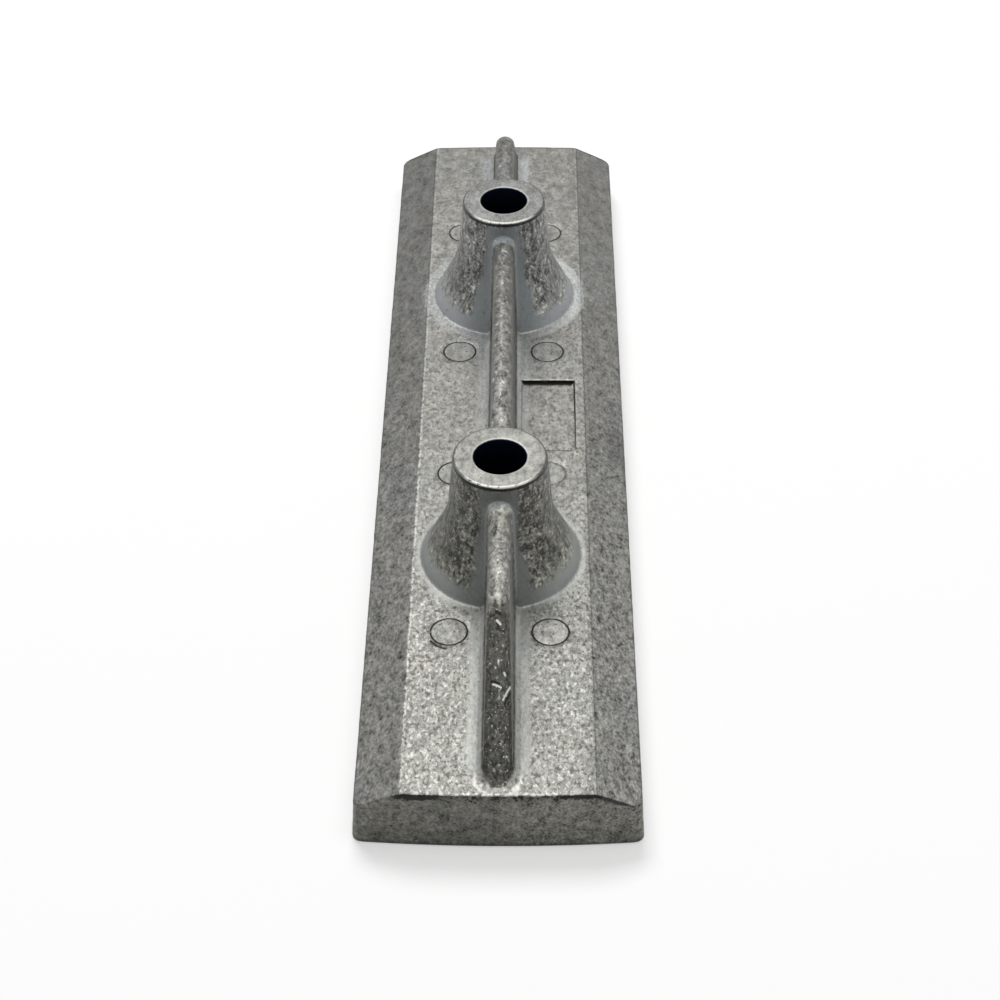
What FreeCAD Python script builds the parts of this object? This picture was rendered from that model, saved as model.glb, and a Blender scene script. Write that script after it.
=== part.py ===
import FreeCAD, Part
import math
import os

# Bar anode, cast in one piece. Millimetres. X across the bar, Y along it, Z up.
# The origin is the middle of the flat back. Two bosses and a rib stand up from the face.

# Bar
bar_length = 215.9          # at the back, at mid width
bar_width = 53.3            # at the back
bar_thickness = 13.0
bar_side_height = 9.0       # where the long chamfers start
face_width = 35.0           # flat face between the two chamfers
side_draft = 3.5            # degrees, long sides
end_draft = 4.2             # degrees, ends
end_crown = 1.1             # how far the middle of an end stands out
bar_corner_radius = 1.8     # in plan
back_edge_radius = 0.4
face_edge_radius = 0.4      # along the chamfers and the ends

# Bosses
boss_spacing = 88.0
boss_height = 38.5          # back to boss face
boss_face_radius = 9.15
boss_draft = 5.0            # degrees, upper barrel
boss_rim_chamfer = 0.4
skirt_radius = 15.9         # where the skirt meets the face
skirt_angle = 26.0          # degrees from upright
skirt_blend_radius = 20.0   # between the barrel and the skirt
bore_radius = 5.1
bore_edge_break = 0.25

# Rib
ridge_below_boss_face = 4.5
rib_height = boss_height - ridge_below_boss_face
rib_foot_width = 5.6
rib_draft = 1.9             # degrees
rib_length = 210.2          # toe to toe, on the face
rib_level_length = 156.8    # between the two crests
crest_radius = 8.0
crest_steps = 5             # sections that carry the ridge over a crest
toe_part = 6.0              # lowest part of a ramp's ridge, which is its own surface
rib_fillet = 1.5            # along the face and up the bosses

# Recessed panel beside the rib
panel_from_rib = 4.1        # middle of the rib to the panel's near side
panel_width = 11.5
panel_length = 23.6
panel_middle = -0.2
panel_depth = 1.0
panel_corner_radius = 0.6

# Shallow round marks that the ejector pins leave in the face
pin_mark_radius = 3.55
pin_mark_depth = 0.15
pin_from_rib = 9.75
pin_ahead_of_boss = 22.0    # towards -Y
pin_behind_boss = 24.5      # towards +Y

root_depth = 3.0            # how deep a raised form starts inside the bar
touch = 0.01                # slack for finding edges by their place


def vec(x, y, z):
    return FreeCAD.Vector(x, y, z)


def tan(degrees):
    return math.tan(math.radians(degrees))


def bar():
    """The chamfered bar: one section carried along Y, cut to drafted and crowned ends."""
    back = bar_width / 2
    shoulder = back - bar_side_height * tan(side_draft)
    face = face_width / 2
    outline = [(-back, 0), (back, 0), (shoulder, bar_side_height), (face, bar_thickness),
               (-face, bar_thickness), (-shoulder, bar_side_height), (-back, 0)]
    section = Part.Face(Part.makePolygon([vec(x, -bar_length, z) for x, z in outline]))
    body = section.extrude(vec(0, 2 * bar_length, 0))
    crown_radius = (back ** 2 + end_crown ** 2) / (2 * end_crown)
    crown_top = crown_radius - bar_thickness * tan(end_draft)
    for side in (-1, 1):
        middle = side * (bar_length / 2 - crown_radius)
        body = body.common(Part.makeCone(crown_radius, crown_top, bar_thickness, vec(0, middle, 0)))

    def corner(edge):
        box = edge.BoundBox
        return box.ZMin < touch and abs(box.ZMax - bar_side_height) < touch

    body = body.makeFillet(bar_corner_radius, [e for e in body.Edges if corner(e)])
    body = body.makeFillet(back_edge_radius, [e for e in body.Edges if e.BoundBox.ZMax < touch])
    face_edges = [e for e in body.Edges if e.BoundBox.ZMin > bar_side_height - touch]
    return body.makeFillet(face_edge_radius, face_edges)


def boss(middle):
    """A boss turned about its own axis: drafted barrel, arc, then a flared skirt."""
    rise = boss_height - bar_thickness
    # the knee is where the barrel's line and the skirt's line would cross
    knee_rise = (skirt_radius - boss_face_radius - rise * tan(boss_draft)) / (tan(skirt_angle) - tan(boss_draft))
    knee = vec(skirt_radius - knee_rise * tan(skirt_angle), 0, bar_thickness + knee_rise)
    half_turn = (skirt_angle - boss_draft) / 2
    to_tangent = skirt_blend_radius * tan(half_turn)
    to_arc = skirt_blend_radius * (1 / math.cos(math.radians(half_turn)) - 1)

    def from_knee(distance, degrees):
        angle = math.radians(degrees)
        return knee + vec(-math.sin(angle), 0, math.cos(angle)) * distance

    upper = from_knee(to_tangent, boss_draft)
    lower = from_knee(-to_tangent, skirt_angle)
    bend = from_knee(-to_arc, boss_draft + half_turn + 90)
    rim_low = vec(boss_face_radius + boss_rim_chamfer * tan(boss_draft), 0, boss_height - boss_rim_chamfer)
    rim_top = vec(boss_face_radius - boss_rim_chamfer, 0, boss_height)
    foot = vec(skirt_radius, 0, bar_thickness)
    root = vec(skirt_radius, 0, bar_thickness - root_depth)
    top_middle = vec(0, 0, boss_height)
    root_middle = vec(0, 0, root.z)
    edges = [Part.LineSegment(root_middle, root), Part.LineSegment(root, foot), Part.LineSegment(foot, lower),
             Part.Arc(lower, bend, upper), Part.LineSegment(upper, rim_low), Part.LineSegment(rim_low, rim_top),
             Part.LineSegment(rim_top, top_middle), Part.LineSegment(top_middle, root_middle)]
    profile = Part.Face(Part.Wire([e.toShape() for e in edges]))
    body = profile.revolve(vec(0, 0, 0), vec(0, 0, 1), 360)
    body.translate(vec(0, middle, 0))
    return body


def rib_corners(y, ridge):
    """The rib cut across at y with its ridge at that height: foot, round's end and top, then the other side."""
    lean = math.radians(rib_draft)
    base = bar_thickness - 2 * root_depth

    def half_width(z):
        return rib_foot_width / 2 - (z - bar_thickness) * math.tan(lean)

    round_radius = half_width(ridge) * math.cos(lean) / (1 - math.sin(lean))
    end_x = round_radius * math.cos(lean)
    end_z = ridge - round_radius + round_radius * math.sin(lean)
    return [vec(half_width(base), y, base), vec(end_x, y, end_z), vec(0, y, ridge), vec(-end_x, y, end_z),
            vec(-half_width(base), y, base)]


def rib_section(y, ridge):
    """Two drafted sides joined by a full round."""
    foot_right, right, top, left, foot_left = rib_corners(y, ridge)
    edges = [Part.LineSegment(foot_right, right), Part.Arc(right, top, left), Part.LineSegment(left, foot_left),
             Part.LineSegment(foot_left, foot_right)]
    return Part.Wire([e.toShape() for e in edges])


def round_section(y, ridge):
    """The full round alone, closed by its chord."""
    foot_right, right, top, left, foot_left = rib_corners(y, ridge)
    return Part.Wire([Part.Arc(right, top, left).toShape(), Part.LineSegment(left, right).toShape()])


def ramp_blade(start, end):
    """A ramp below its round, with plane sides. Start and end each give y and the ridge's height."""
    loops = []
    for y, ridge in (start, end):
        foot_right, right, top, left, foot_left = rib_corners(y, ridge)
        loops.append([foot_right, right, left, foot_left, foot_right])
    near, far = loops
    for corner in range(4):
        loops.append([near[corner], near[corner + 1], far[corner + 1], far[corner], near[corner]])
    blade = Part.Solid(Part.Shell([Part.Face(Part.makePolygon(loop)) for loop in loops]))
    if blade.Volume < 0:
        blade.reverse()
    return blade


def rib():
    """The rib: level between its crests, then a straight ramp down to a toe at each end."""
    crest = rib_level_length / 2
    toe = rib_length / 2
    fall = math.atan2(rib_height - bar_thickness, toe - crest)
    to_tangent = crest_radius * math.tan(fall / 2)
    level_end = crest - to_tangent

    def on_ramp(side, y):
        return side * y, rib_height - (y - crest) * math.tan(fall)

    level = Part.Face(rib_section(-level_end, rib_height))
    body = level.extrude(vec(0, 2 * level_end, 0))
    for side in (-1, 1):
        over_crest = []
        for step in range(crest_steps + 1):
            turn = fall * step / crest_steps
            y = level_end + crest_radius * math.sin(turn)
            over_crest.append(rib_section(side * y, rib_height - crest_radius * (1 - math.cos(turn))))
        start = on_ramp(side, crest + to_tangent * math.cos(fall))
        near_toe = on_ramp(side, toe - toe_part)
        end = on_ramp(side, toe + root_depth / 2)
        ridge = Part.makeLoft([round_section(*start), round_section(*near_toe), round_section(*end)], True, True)
        body = body.fuse(Part.makeLoft(over_crest, True)).fuse(ramp_blade(start, end)).fuse(ridge)
    return body


def rib_edges(body):
    """Every edge where the rib meets the face or climbs a boss."""
    reach = rib_foot_width / 2 + touch
    found = []
    for edge in body.Edges:
        box = edge.BoundBox
        if box.ZMin < bar_thickness - touch or max(-box.XMin, box.XMax) > reach:
            continue
        from_boss = abs(abs(edge.CenterOfMass.y) - boss_spacing / 2)
        on_face = box.ZMax < bar_thickness + touch
        on_boss = boss_face_radius < from_boss < skirt_radius and box.YLength < skirt_radius
        if on_face or (on_boss and box.ZMax < rib_height + touch):
            found.append(edge)
    return found


def bore(middle):
    """A through bore with both edges broken."""
    inner = bore_radius
    outer = bore_radius + bore_edge_break
    hole = Part.makeCylinder(inner, boss_height, vec(0, middle, 0))
    low = Part.makeCone(outer, inner, bore_edge_break, vec(0, middle, 0))
    high = Part.makeCone(inner, outer, bore_edge_break, vec(0, middle, boss_height - bore_edge_break))
    return hole.fuse(low).fuse(high)


def panel():
    """The recess beside the rib, left plain."""
    corner = vec(panel_from_rib, panel_middle - panel_length / 2, bar_thickness - panel_depth)
    box = Part.makeBox(panel_width, panel_length, 2 * panel_depth, corner)
    return box.makeFillet(panel_corner_radius, [e for e in box.Edges if e.BoundBox.ZLength > panel_depth])


def pin_marks():
    """One shallow disc for each ejector pin: two pins ahead of each boss and two behind it."""
    floor = bar_thickness - pin_mark_depth
    marks = []
    for middle in (-boss_spacing / 2, boss_spacing / 2):
        for y in (middle - pin_ahead_of_boss, middle + pin_behind_boss):
            for x in (-pin_from_rib, pin_from_rib):
                marks.append(Part.makeCylinder(pin_mark_radius, 2 * pin_mark_depth, vec(x, y, floor)))
    return marks


def casting():
    body = bar()
    for middle in (-boss_spacing / 2, boss_spacing / 2):
        body = body.fuse(boss(middle))
    body = body.fuse(rib()).removeSplitter()
    body = body.makeFillet(rib_fillet, rib_edges(body))
    for middle in (-boss_spacing / 2, boss_spacing / 2):
        body = body.cut(bore(middle))
    body = body.cut(panel())
    for mark in pin_marks():
        body = body.cut(mark)
    return body.Solids[0]


os.makedirs("parts", exist_ok=True)
anode_casting = casting()
anode_casting.exportStep("parts/anode_casting.step")
print("anode_casting", anode_casting.isValid(), "volume", round(anode_casting.Volume, 1))
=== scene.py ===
import math
from functools import reduce
from types import SimpleNamespace

import bpy
import numpy as np
from mathutils import Matrix, Vector
from mathutils.geometry import delaunay_2d_cdt


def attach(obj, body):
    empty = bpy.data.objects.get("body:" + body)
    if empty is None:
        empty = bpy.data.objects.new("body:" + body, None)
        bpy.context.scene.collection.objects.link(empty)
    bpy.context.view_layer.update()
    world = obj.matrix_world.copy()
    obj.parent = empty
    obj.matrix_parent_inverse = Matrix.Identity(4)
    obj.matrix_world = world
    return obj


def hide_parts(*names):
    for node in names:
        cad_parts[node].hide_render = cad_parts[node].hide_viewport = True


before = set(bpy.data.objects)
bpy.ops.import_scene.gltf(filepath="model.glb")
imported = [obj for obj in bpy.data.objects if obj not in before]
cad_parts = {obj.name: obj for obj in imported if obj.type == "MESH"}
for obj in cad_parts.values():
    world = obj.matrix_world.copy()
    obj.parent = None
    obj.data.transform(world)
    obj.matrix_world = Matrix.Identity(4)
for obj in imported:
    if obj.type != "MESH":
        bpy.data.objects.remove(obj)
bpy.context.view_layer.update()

# Sizes of the casting in millimetres, as the CAD part has them: bar, bosses, rib, panel and pin marks
BAR_LENGTH, BAR_WIDTH, BAR_THICKNESS, SIDE_HEIGHT, FACE_WIDTH = 215.9, 53.3, 13.0, 9.0, 35.0
SIDE_DRAFT, END_DRAFT = math.tan(math.radians(3.5)), math.tan(math.radians(4.2))
END_CROWN, CORNER_RADIUS, BACK_EDGE, FACE_EDGE = 1.1, 1.8, 0.4, 0.4
BOSS_AT, BOSS_HEIGHT, BOSS_FACE, RIM_ROUND, BORE, BORE_EDGE = 44.0, 38.5, 9.15, 0.4, 5.1, 0.3
BARREL_LEAN, SKIRT_LEAN, SKIRT, SKIRT_BLEND, SKIRT_FOOT = 5.0, 26.0, 15.9, 20.0, 0.3
RIDGE, RIB_FOOT, RIB_LEAN, RIB_FILLET, CREST = 34.0, 5.6, math.radians(1.9), 1.5, 8.0
RIB_LEVEL, RIB_LENGTH = 156.8, 210.2
PANEL_X, PANEL_Y, PANEL_DEPTH, PANEL_CORNER = (4.1, 15.6), (-12.0, 11.6), 1.0, 0.6
PIN_X, PIN_Y, PIN_RADIUS, PIN_BLOCK = 9.75, (-66.0, -19.5, 22.0, 68.5), 3.55, 4.3
SQUARE = 17.5               # half side of the square of mesh round a boss, as PIN_BLOCK is round a pin
NUDGE = 0.01                # step that a slope is measured over
MM = 0.001

DIM_SURROUND = 0.13         # what the surround gives to matt surfaces
FLOOR_LIFT = 0.372          # what is added to the floor's own light where it is seen

# Each lamp's place, width and depth in metres, and its power in watts
LAMPS = {"back_lamp": ((-0.25, 1.0, 1.7), 0.9, 0.7, 15.0), "top_lamp": ((0.2, -0.1, 2.0), 1.4, 1.4, 10.5)}
LAMPS_AIM = Vector((0, 0, 0.01))

# The camera found from the photograph: metres, then yaw, pitch down and roll in degrees, then millimetres
CAMERA_AT = (0.004650, -0.351083, 0.300272)
CAMERA_TURN = (-0.87986, 41.6281, -0.49833)
FOCAL_LENGTH, SENSOR_WIDTH = 75.735, 36.0


# Noise, worked out in numpy

def lattice(ix, iy, iz, seed):
    """A number from -1 to 1 for each whole-number corner: an integer hash of its place and the seed."""
    mixed = (ix * 374761393 + iy * 668265263 + iz * 1442695041 + seed * 974634777) & 0xFFFFFFFF
    mixed = ((mixed ^ (mixed >> 13)) * 1274126177) & 0xFFFFFFFF
    return ((mixed ^ (mixed >> 16)) & 0xFFFF) / 32767.5 - 1.0


def grain(points, size, seed):
    """Value noise from -1 to 1: corner numbers of a grid of that cell size, blended with t^3 (6t^2 - 15t + 10)."""
    scaled = points / size
    cell = np.floor(scaled).astype(np.int64)
    t = scaled - cell
    t = t ** 3 * (t * (6 * t - 15) + 10)
    total = np.zeros(len(points))
    for corner in range(8):
        bits = [(corner >> axis) & 1 for axis in range(3)]
        weight = np.ones(len(points))
        for axis, bit in enumerate(bits):
            weight = weight * (t[:, axis] if bit else 1 - t[:, axis])
        total += weight * lattice(cell[:, 0] + bits[0], cell[:, 1] + bits[1], cell[:, 2] + bits[2], seed)
    return total


def ease(low, high, value):
    """0 below low, 1 above high and t^2 (3 - 2t) between. Low may be the larger of the two."""
    t = np.clip((value - low) / (high - low), 0, 1)
    return t * t * (3 - 2 * t)


# The casting as one distance function

def joined(a, b, radius):
    """Two bodies' distances as one body with a fillet of that radius where they meet."""
    return np.maximum(radius, np.minimum(a, b)) - np.hypot(np.maximum(radius - a, 0), np.maximum(radius - b, 0))


def trimmed(a, b, radius):
    """The part inside both, with its edge rounded to that radius."""
    return np.minimum(-radius, np.maximum(a, b)) + np.hypot(np.maximum(radius + a, 0), np.maximum(radius + b, 0))


def boss_radius(z):
    """Radius of a boss at height z: a straight skirt, an arc tangent to both, then the straight barrel."""
    barrel, skirt = math.tan(math.radians(BARREL_LEAN)), math.tan(math.radians(SKIRT_LEAN))
    rise = (SKIRT - BOSS_FACE - (BOSS_HEIGHT - BAR_THICKNESS) * barrel) / (skirt - barrel)
    knee_r, knee_z = SKIRT - rise * skirt, BAR_THICKNESS + rise
    middle = math.radians((BARREL_LEAN + SKIRT_LEAN) / 2)
    half = math.radians((SKIRT_LEAN - BARREL_LEAN) / 2)
    centre_r = knee_r + SKIRT_BLEND / math.cos(half) * math.cos(middle)
    centre_z = knee_z + SKIRT_BLEND / math.cos(half) * math.sin(middle)
    high = centre_z - SKIRT_BLEND * math.sin(math.radians(BARREL_LEAN))
    low = centre_z - SKIRT_BLEND * math.sin(math.radians(SKIRT_LEAN))
    arc = centre_r - np.sqrt(np.maximum(SKIRT_BLEND ** 2 - (z - centre_z) ** 2, 1e-9))
    straight = np.where(z > high, BOSS_FACE + (BOSS_HEIGHT - z) * barrel, SKIRT - (z - BAR_THICKNESS) * skirt)
    return np.where((z > low) & (z < high), arc, straight)


def boss_distance(x, y, z):
    """How far a point is outside the nearer boss, measured square to its wall."""
    lean = (boss_radius(z - NUDGE) - boss_radius(z + NUDGE)) / (2 * NUDGE)
    return (np.hypot(x, np.abs(y) - BOSS_AT) - boss_radius(z)) / np.sqrt(1 + lean ** 2)


def ridge_height(y):
    """Height of the ridge: level, an arc over the crest, then a straight ramp that runs on into the bar."""
    fall = math.atan2(RIDGE - BAR_THICKNESS, (RIB_LENGTH - RIB_LEVEL) / 2)
    level = RIB_LEVEL / 2 - CREST * math.tan(fall / 2)
    along = np.abs(y)
    arc = RIDGE - CREST + np.sqrt(np.maximum(CREST ** 2 - np.clip(along - level, 0, None) ** 2, 0))
    ramp = RIDGE - (along - RIB_LEVEL / 2) * math.tan(fall)
    return np.where(along > level + CREST * math.sin(fall), ramp, arc)


def rib_distance(x, y, z):
    """How far a point is outside the rib: to its drafted side, or above the round's ends to the full round."""
    ridge = ridge_height(y)
    slope = (ridge_height(y + NUDGE) - ridge_height(y - NUDGE)) / (2 * NUDGE)
    at_ridge = RIB_FOOT / 2 - (ridge - BAR_THICKNESS) * math.tan(RIB_LEAN)
    radius = at_ridge * math.cos(RIB_LEAN) / (1 - math.sin(RIB_LEAN))
    above = z - (ridge - radius)
    reach = np.hypot(x, above)
    upright = np.maximum(above, 0) / np.maximum(reach, 1e-9)
    over = (reach - radius) / np.sqrt(1 + (slope * upright) ** 2)
    side = (np.abs(x) - (RIB_FOOT / 2 - (z - BAR_THICKNESS) * math.tan(RIB_LEAN))) * math.cos(RIB_LEAN)
    return np.where(above > np.abs(x) * math.tan(RIB_LEAN), over, side)


def side_at(z):
    """Half width of the bar at height z."""
    return BAR_WIDTH / 2 - z * SIDE_DRAFT


def end_at(x, z):
    """Half length of the bar at x and height z: a large circle whose radius shrinks with the draft."""
    circle = ((BAR_WIDTH / 2) ** 2 + END_CROWN ** 2) / (2 * END_CROWN)
    return BAR_LENGTH / 2 - circle + np.sqrt((circle - z * END_DRAFT) ** 2 - x ** 2)


def top_distance(x, y, z):
    """How far a point is above the casting: face, chamfers, bosses and rib with their fillets, walls left out.

    The rib's fillet shrinks with the last of the ridge's height, as it meets the face at a flat angle there.
    """
    run, fall = side_at(SIDE_HEIGHT) - FACE_WIDTH / 2, BAR_THICKNESS - SIDE_HEIGHT
    chamfer = ((np.abs(x) - FACE_WIDTH / 2) * fall + (z - BAR_THICKNESS) * run) / math.hypot(run, fall)
    bar = trimmed(z - BAR_THICKNESS, chamfer, FACE_EDGE)
    fillet = np.clip(ridge_height(y) - BAR_THICKNESS + 0.2, 0.3, RIB_FILLET)
    solid = joined(joined(bar, boss_distance(x, y, z), SKIRT_FOOT), rib_distance(x, y, z), fillet)
    return trimmed(solid, z - BOSS_HEIGHT, RIM_ROUND)


def outer_distance(x, y, z):
    """How far a point is outside the bar's side and end walls, which meet in upright rounded corners."""
    side = (np.abs(x) - side_at(z)) * math.cos(math.atan(SIDE_DRAFT))
    end = (np.abs(y) - end_at(x, z)) * math.cos(math.atan(END_DRAFT))
    return trimmed(side, end, CORNER_RADIUS)


def top_height(x, y):
    """Height of the casting over a point of the plan, found by halving between 7 mm and the boss faces."""
    low, high = np.full(x.shape, 7.0), np.full(x.shape, BOSS_HEIGHT)
    for _ in range(34):
        middle = (low + high) / 2
        outside = trimmed(top_distance(x, y, middle), outer_distance(x, y, middle), FACE_EDGE) > 0
        high = np.where(outside, middle, high)
        low = np.where(outside, low, middle)
    return (low + high) / 2


def panel_inside(x, y):
    """How far a point is inside the recessed panel's outline, with rounded corners."""
    middle_x, middle_y = sum(PANEL_X) / 2, sum(PANEL_Y) / 2
    half_x, half_y = (PANEL_X[1] - PANEL_X[0]) / 2, (PANEL_Y[1] - PANEL_Y[0]) / 2
    return -trimmed(np.abs(x - middle_x) - half_x, np.abs(y - middle_y) - half_y, PANEL_CORNER)


# Mesh lines in plan

def spread(*runs):
    """Places along an axis from runs of (first, last, how many), joined without repeats."""
    return np.unique(np.round(np.concatenate([np.linspace(*run) for run in runs]), 6))


def lines_across():
    """X of the mesh lines on the face, close together at the rib's walls and fillets and at the panel's walls."""
    ridge = 2.1 * np.sin(np.radians(np.linspace(0, 88, 9)))
    half = [ridge, spread((2.12, 2.8, 9), (2.87, 3.2, 4), (3.45, 4.4, 5), (4.7, 5.07, 2),
                          (PIN_X - PIN_BLOCK, PIN_X + PIN_BLOCK, 21), (14.5, 17.0, 6), (17.3, SQUARE, 3))]
    half = np.concatenate(half)
    panel = [edge + step for edge in PANEL_X for step in (-0.07, -0.02, 0.03, 0.09)]
    return np.unique(np.round(np.concatenate([-half, half, panel]), 6))


def lines_along():
    """Y of the mesh lines: close at the ends, round the pins and at the panel's walls, and even through the bosses."""
    end = end_at(0.0, BAR_THICKNESS)
    close = end - np.array([0, 0.05, 0.14, 0.28, 0.45, 0.7, 1.05])
    near, far = BOSS_AT - SQUARE, BOSS_AT + SQUARE
    pins = [(y - PIN_BLOCK, y + PIN_BLOCK, 21) for y in PIN_Y]
    panel = [edge + step for edge in PANEL_Y for step in (-0.09, -0.03, 0.02, 0.07)]
    runs = [(-end + 1.5, PIN_Y[0] - PIN_BLOCK - 0.4, 60), pins[0], (-far, -near, 50), (-near + 0.5, -24.8, 4),
            pins[1], (-14.7, -12.4, 5), (-11.5, 11.2, 38), (12.0, 17.3, 10), pins[2], (near, far, 50),
            (far + 0.6, 63.7, 4), pins[3], (73.4, end - 1.5, 42)]
    return np.unique(np.round(np.concatenate([spread(*runs), close, -close, panel]), 6))


def chamfer_lines():
    """X of the mesh lines on the chamfer at +X, from the face's edge to the wall."""
    wall = side_at(SIDE_HEIGHT - FACE_EDGE)
    return np.concatenate([[17.6, 17.8], np.linspace(18.5, wall - 0.6, 8), wall - np.array([0.35, 0.18, 0.06, 0.0])])


def follow_ends(x, y):
    """Moves plan points so that the mesh's edge follows the crowned ends and the rounded corners.

    Near an end y becomes y plus the crown's offset. In a corner's square (u, v) becomes
    (u sqrt(1 - v^2/2), v sqrt(1 - u^2/2)).
    """
    run, fall = side_at(SIDE_HEIGHT) - FACE_WIDTH / 2, BAR_THICKNESS - SIDE_HEIGHT
    level = BAR_THICKNESS - np.maximum(np.abs(x) - FACE_WIDTH / 2, 0) * fall / run
    offset = end_at(x, level - FACE_EDGE) - end_at(0.0, BAR_THICKNESS)
    y = y + np.sign(y) * offset * ease(92, 106, np.abs(y))
    wall = side_at(SIDE_HEIGHT - FACE_EDGE)
    limit = end_at(x, level - FACE_EDGE)
    u = np.clip((np.abs(x) - wall + CORNER_RADIUS) / CORNER_RADIUS, 0, 1)
    v = np.clip((np.abs(y) - limit + CORNER_RADIUS) / CORNER_RADIUS, 0, 1)
    inward_x = CORNER_RADIUS * u * (1 - np.sqrt(1 - v ** 2 / 2))
    inward_y = CORNER_RADIUS * v * (1 - np.sqrt(1 - u ** 2 / 2))
    return x - np.sign(x) * inward_x, y - np.sign(y) * inward_y


def round_pins(x, y):
    """Turns the square mesh shells round each pin into circles, closest together at the pin's edge."""
    shells = np.array([0, 0.7, 1.4, 2.1, 2.75, 3.25, 3.44, 3.53, 3.62, 3.78, PIN_BLOCK])
    for pin_y in PIN_Y:
        for pin_x in (-PIN_X, PIN_X):
            a, b = x - pin_x, y - pin_y
            major, minor = np.maximum(np.abs(a), np.abs(b)), np.minimum(np.abs(a), np.abs(b))
            inside = (major < PIN_BLOCK - 0.01) & (major > 1e-6)
            shell = np.interp(major / PIN_BLOCK * 10, np.arange(11), shells)
            turn = math.pi / 4 * minor / np.maximum(major, 1e-6)
            along, across = shell * np.cos(turn), shell * np.sin(turn)
            wide = np.abs(a) >= np.abs(b)
            x = np.where(inside, pin_x + np.sign(a) * np.where(wide, along, across), x)
            y = np.where(inside, pin_y + np.sign(b) * np.where(wide, across, along), y)
    return x, y


def boss_rings(edge_x, edge_y, middle):
    """Plan points of the mesh round a boss, from the square's edge in to the bore: one row per ring.

    Each edge point has a place on every circle. Near the rib its line keeps to one x outside the boss face, and
    the rest share out the angle up to the corners. Between the largest circle and the square they run straight.
    """
    v = edge_y - middle
    largest, keep, corner = SKIRT + 0.4, 4.7, math.pi / 4
    heights = np.concatenate([[13.5], np.linspace(14.3, 37.7, 25)])
    circles = np.concatenate([
        [largest, SKIRT + 0.2, SKIRT + 0.08, SKIRT, SKIRT - 0.08, SKIRT - 0.16], boss_radius(heights),
        [BOSS_FACE + 0.035, BOSS_FACE + 0.01, BOSS_FACE - 0.04, BOSS_FACE - 0.12, BOSS_FACE - 0.24, BOSS_FACE - 0.4],
        np.linspace(8.3, BORE + BORE_EDGE, 6)])
    on_side = np.where(edge_x > 0, v / SQUARE * corner, math.pi - v / SQUARE * corner)

    def on_circle(radius):
        held = max(radius, BOSS_FACE)
        at_keep = math.asin(keep / held)
        beyond = at_keep + (np.abs(edge_x) - keep) / (SQUARE - keep) * (corner - at_keep)
        from_y = np.where(np.abs(edge_x) < keep, np.arcsin(np.clip(edge_x / held, -1, 1)), np.sign(edge_x) * beyond)
        angle = np.where(np.abs(v) >= SQUARE - 1e-6, np.sign(v) * (math.pi / 2 - from_y), on_side)
        return radius * np.cos(angle), radius * np.sin(angle)

    start_x, start_y = on_circle(largest)
    rows = [(start_x * (1 - step) + edge_x * step, start_y * (1 - step) + v * step)
            for step in np.linspace(1, 0, 10, endpoint=False)]
    rows += [on_circle(radius) for radius in circles]
    return np.array([r[0] for r in rows]), np.array([r[1] for r in rows]) + middle


def quads(rows, columns, closed=False):
    """Corner numbers of the quads of a grid of rows by columns, whose columns may join up into a loop."""
    number = np.arange(rows * columns).reshape(rows, columns)
    if closed:
        number = np.hstack([number, number[:, :1]])
    return np.stack([number[:-1, :-1], number[:-1, 1:], number[1:, 1:], number[1:, :-1]], axis=-1).reshape(-1, 4)


def casting_plan():
    """The plan mesh of everything that shows from above: points, quads, the outline's loop and the bores' loops."""
    face = lines_across()
    chamfer = chamfer_lines()
    xs = np.concatenate([-chamfer[::-1], face, chamfer])
    ys = lines_along()
    grid_x, grid_y = np.meshgrid(xs, ys)
    cells = quads(len(ys), len(xs))
    centre_x = grid_x.ravel()[cells].mean(axis=1)
    centre_y = grid_y.ravel()[cells].mean(axis=1)
    in_square = (np.abs(centre_x) < SQUARE) & (np.abs(np.abs(centre_y) - BOSS_AT) < SQUARE)
    cells = cells[~in_square]
    plan_x, plan_y = follow_ends(*round_pins(grid_x.ravel(), grid_y.ravel()))
    points = [np.stack([plan_x, plan_y], axis=1)]
    faces = [cells]
    number = np.arange(len(plan_x)).reshape(len(ys), len(xs))
    loops = [np.concatenate([number[0, :-1], number[:-1, -1], number[-1, :0:-1], number[:0:-1, 0]])]
    start = len(plan_x)
    for middle in (-BOSS_AT, BOSS_AT):
        across = face[np.abs(face) <= SQUARE + 1e-6]
        along = ys[np.abs(ys - middle) <= SQUARE + 1e-6]
        edge_x = np.concatenate([across[:-1], np.full(len(along) - 1, SQUARE),
                                 across[:0:-1], np.full(len(along) - 1, -SQUARE)])
        edge_y = np.concatenate([np.full(len(across) - 1, middle - SQUARE), along[:-1],
                                 np.full(len(across) - 1, middle + SQUARE), along[:0:-1]])
        ring_x, ring_y = boss_rings(edge_x, edge_y, middle)
        points.append(np.stack([ring_x.ravel(), ring_y.ravel()], axis=1))
        faces.append(quads(*ring_x.shape, closed=True) + start)
        start += ring_x.size
        loops.append(np.arange(start - ring_x.shape[1], start))
    points, faces = np.concatenate(points), np.concatenate(faces)
    _, first, place = np.unique(np.round(points[faces.ravel()], 5), axis=0, return_index=True, return_inverse=True)
    renumbered = np.zeros(len(points), dtype=np.int64)
    renumbered[faces.ravel()] = place.ravel()
    return points[faces.ravel()[first]], place.reshape(-1, 4), [renumbered[loop] for loop in loops]


def onto_wall(x, y, z):
    """Moves plan points to the bar's outer wall at height z, by Newton steps, and gives its outward direction."""
    for _ in range(4):
        here = outer_distance(x, y, z)
        slope_x = (outer_distance(x + NUDGE, y, z) - outer_distance(x - NUDGE, y, z)) / (2 * NUDGE)
        slope_y = (outer_distance(x, y + NUDGE, z) - outer_distance(x, y - NUDGE, z)) / (2 * NUDGE)
        square = slope_x ** 2 + slope_y ** 2
        x, y = x - here * slope_x / square, y - here * slope_y / square
    return x, y, slope_x / np.sqrt(square), slope_y / np.sqrt(square)


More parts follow.
